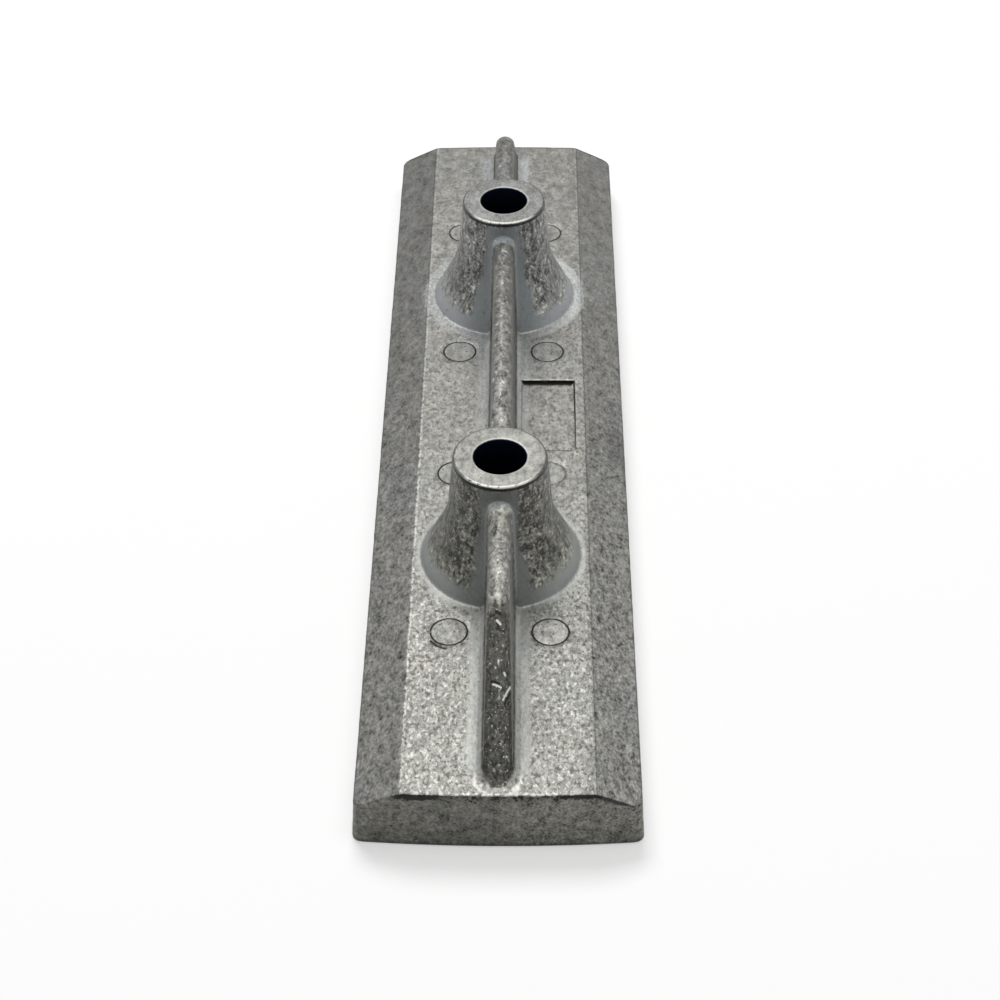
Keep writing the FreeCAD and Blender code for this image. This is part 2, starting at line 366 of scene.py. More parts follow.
def wall_rows(edge):
    """Rows of points down the bar's wall: even steps, then a quarter circle of the back edge's radius."""
    rows = []
    for step in np.linspace(0, 1, 9)[1:]:
        z = edge[:, 2] + (BACK_EDGE - edge[:, 2]) * step
        x, y, out_x, out_y = onto_wall(edge[:, 0], edge[:, 1], z)
        rows.append(np.stack([x, y, z], axis=1))
    for turn in np.radians([30, 60, 90]):
        inset, z = BACK_EDGE * (1 - math.cos(turn)), BACK_EDGE * (1 - math.sin(turn))
        rows.append(np.stack([x - out_x * inset, y - out_y * inset, np.full(len(x), z)], axis=1))
    return rows


def bore_rows(edge, middle):
    """Rows of points down a bore: a quarter circle at the boss face, the straight wall and the back's edge."""
    levels = [(BORE + BORE_EDGE * (1 - math.sin(a)), BOSS_HEIGHT - BORE_EDGE * (1 - math.cos(a)))
              for a in np.radians([30, 60, 90])]
    levels += [(BORE, 26.0), (BORE, 13.0), (BORE, BORE_EDGE), (BORE + 0.3 * BORE_EDGE, 0.3 * BORE_EDGE),
               (BORE + BORE_EDGE, 0.0)]
    angle = np.arctan2(edge[:, 1] - middle, edge[:, 0])
    return [np.stack([radius * np.cos(angle), middle + radius * np.sin(angle), np.full(len(angle), z)], axis=1)
            for radius, z in levels]


def corner_normals(points, faces):
    """Unit normals at the points: each face's normal, as long as its area, added up at its corners."""
    a, b, c, d = (points[faces[:, k]] for k in range(4))
    square = np.cross(c - a, d - b)
    total = np.zeros_like(points)
    for k in range(4):
        for axis in range(3):
            total[:, axis] += np.bincount(faces[:, k], weights=square[:, axis], minlength=len(points))
    return total / np.maximum(np.linalg.norm(total, axis=1, keepdims=True), 1e-12)


def calm_places(points):
    """1 where the casting is smooth: beside the rib, up the bosses' flanks next to it and round the skirts' feet."""
    x, y, z = points.T
    ragged = 0.7 * grain(points, 2.2, 5) + 0.5 * grain(points, 0.9, 6)
    from_boss = np.hypot(x, np.abs(y) - BOSS_AT)
    rear = ease(-10.0, 10.0, y)
    beside_rib = 1 - ease(5.3, 6.1, np.abs(x) + 0.5 * ragged)
    round_foot = 1 - ease(0.4, 0.9, np.abs(from_boss - SKIRT - 0.6 - 0.7 * rear) - 0.7 * rear + 0.3 * ragged)
    on_face = np.maximum(beside_rib, round_foot)
    lower = ease(27.0, 15.0, z)
    flank_rib = 1 - ease(3.0, 4.2, np.abs(x) - 2.6 * lower - 1.1 * rear * ease(33.0, 28.0, z) + 0.8 * ragged)
    flank_foot = 1 - ease(15.2, 17.0, z + 1.3 * ragged)
    on_flank = np.maximum(flank_rib, flank_foot)
    flank = ease(SKIRT + 0.25, SKIRT - 0.15, from_boss)
    calm = on_face * (1 - flank) * ease(104.5, 99.0, np.abs(y) + ragged) + on_flank * flank
    rib = ease(0.4, 0.1, rib_distance(x, y, z))
    return calm * (1 - rib) * ease(11.0, 12.5, z) * ease(BOSS_HEIGHT - 0.2, BOSS_HEIGHT - 1.5, z)


def cast_skin(points, normals, calm):
    """How far the cast skin stands out, in mm.

    Lumps are noise of 2.4 and 1.3 mm cells, less where it is calm. Flanks add runs down them, walls lie 0.055 mm in,
    and the top of the ends is torn by noise of 0.8 mm cells. The back and the bores stay plain.
    """
    x, y, z = points.T
    from_boss = np.hypot(x, np.abs(y) - BOSS_AT)
    lumps = 0.03 * grain(points, 2.4, 11) + 0.02 * grain(points, 1.3, 12)
    around = np.arctan2(y - np.sign(y) * BOSS_AT, x) * 13.0
    runs = 0.03 * grain(np.stack([around, z * 0.5, np.zeros(len(x))], axis=1), 0.9, 14)
    below_top = ease(BOSS_HEIGHT - 0.3, BOSS_HEIGHT - 1.5, z)
    flank = ease(SKIRT - 0.1, SKIRT - 0.5, from_boss) * ease(13.4, 14.4, z) * below_top
    skin = (lumps + runs * flank) * (1 - 0.85 * calm)
    upright = ease(0.5, 0.1, np.abs(normals[:, 2]))
    tear = ease(1.3, 0.3, np.abs(z - 12.3 - 0.35 * grain(points, 3.0, 16))) * upright * ease(104.0, 105.5, np.abs(y))
    skin = skin - tear * np.maximum(0.22 + 0.3 * grain(points, 0.8, 15), 0)
    plain = ease(0.6, 0.1, z) + ease(BORE + 0.35, BORE + 0.1, from_boss)
    plain = plain + ease(BOSS_HEIGHT - 0.2, BOSS_HEIGHT - 0.05, z) * 0.6
    wall = upright * ease(BORE + 1, BORE + 3, from_boss) * (1 - flank) * ease(0.05, 0.4, z)
    return skin * (1 - np.clip(plain, 0, 1)) - 0.055 * wall


def sunk_marks(x, y):
    """Depth of the panel and of the lines round the pins, in mm."""
    depth = PANEL_DEPTH * ease(-0.02, 0.09, panel_inside(x, y))
    for pin_y in PIN_Y:
        from_pin = np.abs(np.hypot(np.abs(x) - PIN_X, y - pin_y) - PIN_RADIUS)
        depth = depth + 0.14 * ease(0.13, 0.02, from_pin)
    return depth


def flat_back(points, rims):
    """Triangles of the back, between the outline's lowest loop and the bores' lowest loops, facing down."""
    corners = np.concatenate(rims)
    place, edges = 0, []
    for rim in rims:
        turn = np.arange(len(rim))
        edges += (np.stack([turn, np.roll(turn, -1)], axis=1) + place).tolist()
        place += len(rim)
    found = delaunay_2d_cdt([Vector(spot) for spot in points[corners, :2]], edges, [], 2, 1e-6)
    original = corners[[source[0] for source in found[3]]]
    triangles = original[np.array(found[2])[:, ::-1]]
    middle = points[triangles].mean(axis=1)
    return triangles[np.hypot(middle[:, 0], np.abs(middle[:, 1]) - BOSS_AT) > BORE + BORE_EDGE].tolist()


def casting_mesh():
    """The whole casting: the plan mesh raised to the top's height, the walls, the bores and the flat back."""
    plan, faces, loops = casting_plan()
    x, y = plan.T
    z = top_height(x, y)
    z = z - sunk_marks(x, y) * ease(15.0, 14.0, z)
    points, all_faces, total, rims = [np.stack([x, y, z], axis=1)], [faces], len(plan), []
    for place, loop in enumerate(loops):
        edge = points[0][loop]
        rows = wall_rows(edge) if place == 0 else bore_rows(edge, (-BOSS_AT, BOSS_AT)[place - 1])
        block = np.concatenate([loop] + [np.arange(len(loop)) + total + k * len(loop) for k in range(len(rows))])
        side = block[quads(len(rows) + 1, len(loop), closed=True)]
        all_faces.append(side[:, ::-1] if place == 0 else side)
        points += rows
        total += len(rows) * len(loop)
        rims.append(block[-len(loop):])
    points, faces = np.concatenate(points), np.concatenate(all_faces)
    normals = corner_normals(points, faces)
    calm = calm_places(points)
    points = points + normals * cast_skin(points, normals, calm)[:, None]
    points[:, 2] = np.minimum(points[:, 2], BOSS_HEIGHT)
    from_rib = np.clip(rib_distance(*points.T), -1, 20)
    return points, faces.tolist() + flat_back(points, rims), {"calm": calm, "from_rib": from_rib}


def make_casting():
    """The casting as an object, smooth shaded. Its points know how calm their skin is and how far off the rib is."""
    points, faces, known = casting_mesh()
    mesh = bpy.data.meshes.new("cast_body")
    mesh.from_pydata((points * MM).tolist(), [], faces)
    for name, values in known.items():
        mesh.attributes.new(name, "FLOAT", "POINT").data.foreach_set("value", values.astype(np.float32))
    mesh.polygons.foreach_set("use_smooth", np.ones(len(mesh.polygons), dtype=bool))
    mesh.update()
    casting = bpy.data.objects.new("cast_body", mesh)
    bpy.context.scene.collection.objects.link(casting)
    return casting


# Materials

WHITE, BLACK, PAPER = (1.0, 1.0, 1.0, 1.0), (0.0, 0.0, 0.0, 1.0), (0.94, 0.94, 0.94, 1.0)
RUST, DARK_LINE = (0.14, 0.12, 0.092, 1.0), (0.005, 0.005, 0.004, 1.0)
BARE_METAL_AND_HIGHLIGHT, BORE_OXIDE_AND_SHADE = (0.78, 0.77, 0.73, 1.0), (0.009, 0.014, 0.032, 1.0)

# How light each kind of skin is before its pattern. The flanks' and ramps' tones are dark partly as painted shade, and
# the tones beside the rib and at the arch are painted highlights
EVEN, FACE, BOSS_TOP, FLANK, RIB, RAMP = 0.216, 0.3, 0.317, 0.146, 0.325, 0.096
CALM_FACE, CALM_FLANK, BY_RIB_HIGHLIGHT, ARCH_HIGHLIGHT, DARKEST = 0.3, 0.173, 0.3, 0.4, 0.015

# Strokes in plan: where each starts and ends, and its half width
SMUDGE = (((25.0, -4.5), (25.0, -11.5), 4.0),)
# painted shade along the panel's near wall
PANEL_NEAR_WALL_SHADE = (((4.4, -12.1), (15.0, -12.1), 0.3), ((15.0, -12.1), (15.7, -11.4), 0.3))
CRACK = (((-13.2, -68.5), (-12.1, -69.8), 0.32), ((-12.1, -69.8), (-10.3, -70.6), 0.32))
NICK_SHADES = (((-1.2, -90.0), (0.2, -90.5), 0.26), ((1.12, -93.3), (2.65, -90.3), 0.2),
               ((-0.35, -80.2), (0.2, -80.5), 0.4), ((-0.4, -81.2), (0.0, -82.4), 0.24))
NICKS = (((-0.9, -90.5), (0.55, -91.0), 0.22), ((0.9, -92.7), (2.45, -89.9), 0.18),
         ((-0.25, -81.5), (0.4, -82.0), 0.28), ((1.15, -88.9), (1.25, -89.1), 0.3),
         ((0.05, -87.4), (0.1, -87.2), 0.24))


class Number:
    """A number that varies over a material, so that an expression on it adds its Math nodes."""

    def __init__(self, finish, socket):
        self.finish = finish
        self.socket = socket

    def math(self, operation, *values):
        return self.finish.number("ShaderNodeMath", {"operation": operation}, dict(enumerate(values)))

    def __add__(self, other):
        return self.math("ADD", self, other)

    def __radd__(self, other):
        return self.math("ADD", other, self)

    def __sub__(self, other):
        return self.math("SUBTRACT", self, other)

    def __rsub__(self, other):
        return self.math("SUBTRACT", other, self)

    def __mul__(self, other):
        return self.math("MULTIPLY", self, other)

    def __rmul__(self, other):
        return self.math("MULTIPLY", other, self)

    def __abs__(self):
        return self.math("ABSOLUTE", self)

    def least(self, other):
        return self.math("MINIMUM", self, other)

    def most(self, other):
        return self.math("MAXIMUM", self, other)

    def length_with(self, other):
        """The long side of a right triangle with these two short sides."""
        return self.math("SQRT", self * self + other * other)

    def between(self, low, high):
        """0 at low, 1 at high and smooth in between. Low may be the larger of the two."""
        if low > high:
            return 1 - self.between(high, low)
        return self.finish.number("ShaderNodeMapRange", {"interpolation_type": "SMOOTHSTEP", "clamp": True},
                                  {0: self, 1: low, 2: high, 3: 0.0, 4: 1.0})

    def towards(self, other, share):
        """This number where share is 0 and the other where it is 1."""
        return self + (other - self) * share


class Finish:
    """A material or world under construction. node() adds any node: its settings, then its inputs."""

    def __init__(self, name, kept_in=None):
        self.owner = (bpy.data.materials if kept_in is None else kept_in).new(name)
        self.owner.use_nodes = True
        self.tree = self.owner.node_tree
        self.tree.nodes.clear()

    def node(self, kind, settings=None, inputs=None):
        made = self.tree.nodes.new(kind)
        for name, setting in (settings or {}).items():
            setattr(made, name, setting)
        for name, value in (inputs or {}).items():
            value = value.socket if isinstance(value, Number) else value
            if isinstance(value, bpy.types.NodeSocket):
                self.tree.links.new(value, made.inputs[name])
            else:
                made.inputs[name].default_value = value
        return made

    def number(self, kind, settings=None, inputs=None, output=0):
        return Number(self, self.node(kind, settings, inputs).outputs[output])

    def place(self):
        """Object coordinates in millimetres, as a vector and as three numbers."""
        metres = self.node("ShaderNodeTexCoord").outputs["Object"]
        scaled = self.node("ShaderNodeVectorMath", {"operation": "SCALE"}, {"Vector": metres, "Scale": 1 / MM})
        axes = self.node("ShaderNodeSeparateXYZ", None, {0: scaled.outputs[0]}).outputs
        return scaled.outputs[0], [Number(self, socket) for socket in axes]

    def attribute(self, name):
        return self.number("ShaderNodeAttribute", {"attribute_name": name}, output="Fac")

    def cells(self, vector, size, detail=1.0, roughness=0.5, distortion=0.0):
        """Noise about 0, nearly all of it between -1 and 1, from a grid of cells of that many millimetres."""
        noise = self.number("ShaderNodeTexNoise", {"noise_dimensions": "3D"}, {
            "Vector": vector, "Scale": 1 / size, "Detail": detail, "Roughness": roughness, "Distortion": distortion})
        return (noise - 0.5) * 4

    def stretched(self, vector, scale):
        return self.node("ShaderNodeVectorMath", {"operation": "MULTIPLY"}, {0: vector, 1: scale}).outputs[0]

    def strokes(self, x, y, places):
        """1 on thin lines of the plan, 0 off them."""
        lines = []
        for start, end, width in places:
            run_x, run_y = end[0] - start[0], end[1] - start[1]
            square = run_x ** 2 + run_y ** 2
            share = ((x - start[0]) * (run_x / square) + (y - start[1]) * (run_y / square)).most(0.0).least(1.0)
            off_x, off_y = x - start[0] - share * run_x, y - start[1] - share * run_y
            lines.append(off_x.length_with(off_y).between(width, width * 0.4))
        return reduce(Number.most, lines)

    def colour(self, tone, green, blue):
        """A colour of that tone whose green and blue are those shares of its red."""
        return self.node("ShaderNodeCombineColor", None, {0: tone, 1: tone * green, 2: tone * blue}).outputs[0]

    def tinted(self, share, first, second):
        """The first colour where share is 0 and the second where it is 1."""
        return self.node("ShaderNodeMix", {"data_type": "RGBA", "clamp_factor": True},
                         {0: share, 6: first, 7: second}).outputs[2]

    def closed(self, shader, output="ShaderNodeOutputMaterial"):
        """Ends in that shader and gives back the material, or the world when its output is the kind."""
        self.node(output, None, {"Surface": shader})
        return self.owner


def cast_patterns(finish, place):
    """The skin's own patterns. Most are drawn out along the bar, and two are mirrored so that they differ."""
    drawn = finish.stretched(place, (1.0, 0.66, 1.0))
    return SimpleNamespace(
        pores=finish.cells(drawn, 0.72, 1.6, 0.55),
        specks=finish.cells(finish.stretched(drawn, (1.0, 1.0, -1.0)), 0.42, 0.5),
        pimples=finish.cells(finish.stretched(drawn, (-1.0, 1.0, 1.0)), 0.66, 0.5),
        mottle=finish.cells(drawn, 1.15, 2.0, 0.6),
        fine=finish.cells(drawn, 0.5, 1.5, 0.6),
        blotch=finish.cells(drawn, 2.2, 1.0),
        worms=finish.cells(drawn, 0.95, 0.0, 0.5, 1.2),
        brushed=finish.cells(finish.stretched(place, (1.0, 0.3, 0.6)), 0.6, 2.0, 0.6),
        streaks=finish.cells(finish.stretched(place, (1.0, 1.0, 0.5)), 1.1, 2.0, 0.55, 0.5),
        torn=finish.cells(place, 1.6, 2.0, 0.6),
        patch=finish.cells(place, 4.5, 2.0, 0.6),
        cloud=finish.cells(place, 15.0, 1.0))


def cast_zones(finish, skin, x, y, z):
    """Where each kind of skin lies, as shares from 0 to 1, and the distances that patterns and lines need.

    Heights are in millimetres: the bar's face is at 13 and the boss faces are at 38.5.
    """
    across, along = abs(x), abs(y)
    from_boss = x.length_with(along - BOSS_AT)
    calm, from_rib = finish.attribute("calm"), finish.attribute("from_rib")
    from_pins = reduce(Number.least, [(across - PIN_X).length_with(y - pin_y) for pin_y in PIN_Y])
    normal = finish.node("ShaderNodeNewGeometry").outputs["Normal"]
    upward = Number(finish, finish.node("ShaderNodeSeparateXYZ", None, {0: normal}).outputs[2])

    panel = along.between(14.0, 13.0) * z.between(11.5, 11.8)
    face = z.between(12.55, 12.8).most(panel) * across.between(17.6, 17.4)
    boss = from_boss.between(SKIRT + 0.08, SKIRT - 0.08) * z.between(13.05, 13.3)
    rib = from_rib.between(0.32, 0.08) * z.between(13.02, 13.15) * (across + (along - 105.2) * 0.9).between(1.6, 1.1)
    ramp = rib * along.between(77.5, 80.5) * upward.between(0.1, 0.45)
    end = along.between(105.4, 106.2) * upward.between(0.75, 0.5)
    wall = upward.between(0.7, 0.5) * z.between(12.9, 12.4)
    # the arch where the rib's round dies into a boss, and the edge of its fillet down the flank, both lit by a painted
    # highlight
    arch = boss * from_rib.between(1.8, 1.4) * x.length_with(z - 33.0).between(2.6, 2.2) * z.between(32.5, 33.5)
    beside_rib = boss * abs(from_rib - 0.45).between(0.35, 0.1) * z.between(14.0, 16.0)
    disc = from_pins.between(PIN_RADIUS + 0.05, PIN_RADIUS - 0.05)
    return SimpleNamespace(
        x=x, y=y, z=z, across=across, along=along, from_boss=from_boss, from_rib=from_rib, from_pins=from_pins,
        calm=calm, face=face, boss=boss, rib=rib, ramp=ramp, end=end, wall=wall, arch=arch, beside_rib=beside_rib,
        disc=disc, top=z.between(38.12, 38.3), inside=from_boss.between(BORE + 0.24, BORE + 0.08),
        front=y.between(-20.0, -75.0), rear=y.between(-70.0, 95.0),
        outer_foot=boss * z.between(20.0, 15.0) * across.between(5.0, 12.0),
        pitted=(skin.pores + skin.patch * 0.4).between(0.0, 0.9) * (1 - disc * 0.75))


def even_tone(finish, skin, at):
    """Chamfers and walls: even, a little lighter as painted light and more broken on the +X side, and darker on the
    walls, partly as painted shade that is deepest near the floor.
    """
    right = at.x.between(0.0, 5.0)
    pattern = (skin.mottle * 0.52 + skin.fine * 0.55) * (1 - at.rear * 0.55) * (1 + right * 0.3)
    even = EVEN * (1 + pattern + skin.blotch * 0.2 + skin.patch * 0.14 + right * 0.17
                   - at.rear * (0.25 - right * 0.05))
    even = even * (1 + abs(skin.worms).between(0.22, 0.02) * at.front * (0.12 + at.x.between(0.0, 8.0) * 0.3))
    even = even * (1 - finish.strokes(at.x, at.y, SMUDGE) * at.z.between(8.6, 9.2) * 0.3)
    return even * (1 - at.wall * (0.38 - at.z.between(1.5, 6.0) * 0.19))


def face_tone(skin, at):
    """The pale face: mottled and pored, with bright bits and curls towards the front, and smoother pin discs."""
    near, rougher = 1 - at.rear * 0.55, 1 - at.disc * 0.6
    bits = (skin.pimples - skin.patch * 0.2).between(0.25, 0.9) * (0.4 + at.front * 0.75) * rougher
    curls = abs(skin.worms).between(0.24, 0.02) * (0.15 + at.front * 0.85) * rougher
    pattern = (skin.mottle * 0.47 + skin.fine * 0.22) * near + skin.blotch * (0.1 + at.rear * 0.22)
    face = FACE - at.front * 0.014 - at.rear * 0.022 - at.y.between(75.0, 100.0) * 0.025
    face = face * (1 + pattern + skin.patch * 0.22 + bits * 0.68 + curls * 0.58)
    face = face * (1 - at.pitted * (0.47 + at.front * 0.17 - at.rear * 0.18))
    face = face * (1 - skin.specks.between(0.45, 0.95) * near * 0.32)
    face = face * (1 - (skin.specks + skin.pores * 0.7).between(0.75, 1.15) * at.disc * 0.6)
    return face * (1 + at.disc * at.x.between(0.0, 5.0) * at.front * 0.36)


def flank_tone(skin, at):
    """The bosses' flanks: dark, partly as painted shade, streaked and broken near the rib, lighter at their outer feet
    and at the rear.
    """
    grains = (skin.pimples + skin.streaks * 0.5 + skin.mottle * 0.3).between(0.45, 1.0)
    broken = (1 - at.across.between(6.0, 12.0) * 0.45) * (1 - at.rear * 0.3)
    pattern = (skin.streaks * 1.4 + skin.fine * 1.1 + grains * 1.8) * broken + skin.blotch * 0.25
    flank = FLANK * (1 + pattern).most(0.3)
    flank = flank * (1 - (skin.streaks * 0.5 + skin.torn).between(0.5, 1.0) * broken * 0.45)
    flank = flank * (1 + at.outer_foot * 1.1 + at.rear * 0.8)
    return flank * (0.88 + at.x.between(-4.0, 4.0) * 0.13)


def calm_tone(skin, at):
    """Smooth skin: pale on the face beside the rib and round the skirts, darker up the bosses' flanks, partly as
    painted shade. Painted light lifts the face beside the rib, most on the left at the front, on the right side, most
    just in front of the front boss, and round the rear boss.
    """
    # painted light beside the rib, strongest on the left at the front and right next to the rib
    by_rib = at.from_rib.between(1.0, 3.2) * (0.08 + at.front * at.x.between(3.0, -3.0) * 0.42)
    by_rib = by_rib + at.from_rib.between(1.6, 0.3) * 0.36
    # painted light on the right side, most just in front of the front boss
    right = at.x.between(0.0, 3.0) * (0.1 + at.y.between(-84.0, -66.0) * 0.2 - at.y.between(-92.0, -100.0) * 0.08)
    # painted light round the rear boss
    behind = at.from_boss.between(SKIRT + 8.0, SKIRT + 3.0) * at.rear * (0.2 + (skin.mottle + skin.fine) * 0.2)
    ahead = at.from_boss.between(SKIRT + 2.5, SKIRT + 1.2) * (1 - at.rear) * 0.16
    pattern = skin.fine * 0.24 + skin.brushed * 0.26 + skin.mottle * 0.1 + skin.patch * 0.12
    face = CALM_FACE * (1 + pattern + by_rib + right + behind - ahead)
    face = face * (1 - (skin.specks + skin.pores * 0.5).between(0.7, 1.2) * 0.4)
    foot = at.outer_foot * (0.85 + at.x.between(-3.0, 3.0) * 0.1)
    pattern = (skin.fine + skin.brushed) * 0.12 + at.across.between(3.0, 6.5) * 0.1
    flank = CALM_FLANK * (1 + pattern + foot + at.rear * 0.6)
    flank = flank * (1 - (skin.torn + skin.specks * 0.6).between(0.85, 1.15) * at.rear * 0.5)
    return face.towards(flank, at.boss)


def rib_tone(skin, at):
    """The rib's bright mottled ridge, its rounded sides darker as painted shade and lighter near the bosses as painted
    light, and its ramps, dark partly as painted shade, with bright flecks.
    """
    rib = RIB - at.y.between(-25.0, 10.0) * 0.074 - at.rear * 0.05
    rib = rib * (1 + (skin.mottle * 0.8 + skin.fine * 0.5) * (1 - at.rear * 0.25) + skin.blotch * 0.22)
    # painted shade on the rib's rounded sides
    rib = rib * (1 - at.across.between(0.9, 2.0) * 0.42)
    rib = rib * (1 + (skin.pimples + skin.mottle * 0.4).between(0.6, 1.0) * 0.8)
    # painted light where the rib nears a boss
    rib = rib * (1 + at.from_boss.between(14.0, 11.0) * 0.35)
    flecks = (skin.pimples + skin.torn * 0.3).between(0.75, 1.05) * 3.0 + skin.specks.between(-0.72, -1.0) * 5.0
    lower = at.along.between(92.0, 98.0) * 0.15
    ramp = RAMP * (1 + skin.mottle * 0.6 + skin.fine * 0.8 + flecks - lower).most(0.2)
    return rib.towards(ramp, at.ramp)


def cast_colour(finish, skin, at):
    """The skin's colour before its lines: how light it is, from the walls up to the boss faces, then its hue."""
    tone = even_tone(finish, skin, at)
    tone = tone.towards(face_tone(skin, at), at.face)
    tone = tone.towards(flank_tone(skin, at), at.boss)
    tone = tone.towards(calm_tone(skin, at), at.calm)
    # painted highlight along the rib's fillet edge on the flank, stronger on the +X side
    tone = tone.towards(BY_RIB_HIGHLIGHT + skin.fine * 0.05, at.beside_rib * (0.3 + at.x.between(0.0, 1.5) * 0.5))
    # painted highlight on the arch at the rib's end, with glints
    glints = (skin.mottle - skin.fine * 0.4).between(0.3, 0.9) * 0.25
    tone = tone.towards(ARCH_HIGHLIGHT + (skin.mottle + skin.fine) * 0.1 + glints, at.arch)
    tone = tone.towards(rib_tone(skin, at), at.rib)
    top = (BOSS_TOP - at.rear * 0.078) * (1 + skin.mottle * 0.45 + skin.patch * 0.2 + skin.fine * 0.25)
    tone = tone.towards(top * (1 - skin.specks.between(0.75, 1.05) * 0.35), at.top).most(DARKEST)

    dull = at.wall.most(at.ramp).most(at.boss * (1 - at.top) * (1 - at.rear))
    warm = finish.colour(tone, 0.99, 0.915 - dull * 0.05)
    cool = finish.colour(tone * 0.955, 1.065, 1.03 + at.rear * 0.09)
    cooled = at.calm * (0.3 + at.rear * 0.12 + at.boss * 0.6) + at.boss * at.rear * 0.35
    cooled = cooled + (1 - at.boss).least(skin.cloud.between(0.0, 1.0)) * (1 - at.wall) * 0.25
    rusty = at.pitted * at.face * (1 - at.calm) * (1 - at.boss)
    return finish.tinted(rusty * 0.45, finish.tinted(cooled, warm, cool), RUST)


def dark_lines(finish, skin, at):
    """Each dark line, as a share from 0 to 1, after how strongly it is drawn. Many are painted shade: under the rims,
    along the rib's foot and ramps, on the panel's walls, at the casting's lowest rim and in the torn ends' crevices.
    """
    x, y, z, across, along = at.x, at.y, at.z, at.across, at.along
    mottle, fine, torn = skin.mottle, skin.fine, skin.torn

    # round the pins, one of them faint on its outer side
    rings = abs(at.from_pins - PIN_RADIUS).between(0.27, 0.1) * (torn + mottle * 0.5).between(-1.5, -0.3) * at.face
    yield 0.95, rings * (1 - x.between(8.0, 11.0) * abs(y - PIN_Y[1]).between(4.5, 4.0) * 0.6)
    # painted shadow under a boss face's rim, and painted shade on the rim's rounded edge
    yield 0.9, z.between(37.4, 37.7) * z.between(38.3, 38.15) * at.from_boss.between(8.7, 8.9)
    yield 0.55, at.from_boss.between(8.62, 8.84) * z.between(38.0, 38.2)
    # painted shade in the crease along the rib's foot and on the sides of its ramps
    yield 0.28, abs(at.from_rib - 0.25).between(0.22, 0.08) * z.between(13.3, 14.0) * (1 - at.boss) * (1 - at.rear)
    yield 0.4, at.ramp * across.between(1.7, 2.1) * z.between(13.6, 14.6) * (1 - at.rear * 0.6)
    # beside and below the chamfers, and along the rear end's top
    beside_chamfer = abs(across - 17.72).between(0.2, 0.08) * z.between(12.4, 12.6)
    beside_chamfer = beside_chamfer * (mottle + torn * 0.5).between(-0.8, 0.3)
    yield 0.42, beside_chamfer * x.between(-5.0, 5.0).most(at.rear)
    yield 0.4, across.between(25.65, 25.95) * z.between(8.4, 8.8) * (1 - at.end)
    yield 0.55, (y + x * x * 0.0016).between(106.2, 106.5) * z.between(8.6, 8.8)
    # painted shade on the panel's near, far and right walls, and painted shade along the casting's lowest rim
    yield 0.75, finish.strokes(x, y, PANEL_NEAR_WALL_SHADE) * at.face
    yield 1.0, y.between(11.25, 11.4) * y.between(11.72, 11.64) * x.between(3.8, 4.0) * x.between(15.8, 15.65)
    right_wall = x.between(15.45, 15.52) * x.between(15.78, 15.7)
    yield 0.85, right_wall * along.between(12.2, 12.1) * y.between(-12.0, 5.0)
    # painted shade along the bottom of the walls, where they meet the floor
    yield 0.45, at.wall * z.between(1.1, 0.5)
    # the torn top of the ends, with painted shade in its crevice: at the face and under the chamfer at +X; and dark
    # bits at the upright corners
    height = z + torn * 0.45 + mottle * 0.35 + across.between(15.5, 8.0) * (mottle + fine + 0.35) * 0.5
    height = height + x.between(-13.0, -15.0) * 0.3
    tear = at.end * height.between(11.6, 12.0) * (z + (across - 17.4).most(0.0) * 0.46).between(13.05, 12.95)
    broken = (torn + fine * 0.8 + across.between(9.0, 13.0) * 1.5 + 0.1).between(0.0, 0.5)
    yield 0.97, tear * across.between(19.5, 18.0) * broken
    below_chamfer = z + (across - 17.5) * 0.4645 - 12.5 + torn * 0.15
    chamfer_tear_shade = at.end * (abs(below_chamfer) + x.between(18.5, 25.0) * 0.4).between(0.85, 0.4)
    yield 0.85, chamfer_tear_shade * x.between(16.5, 17.5) * (torn + x.between(27.0, 20.0) * 1.5).between(0.0, 0.5)
    corner_bits = at.wall * along.between(104.3, 104.9) * across.between(24.6, 25.4) * z.between(4.0, 5.0)
    yield 0.85, corner_bits * (torn + fine).between(0.3, 0.6)
    # the crack by a pin, and the shaded sides of the ramp's nicks
    yield 0.92, finish.strokes(x, y, CRACK) * at.face
    yield 0.92, finish.strokes(x, y, NICK_SHADES) * at.ramp


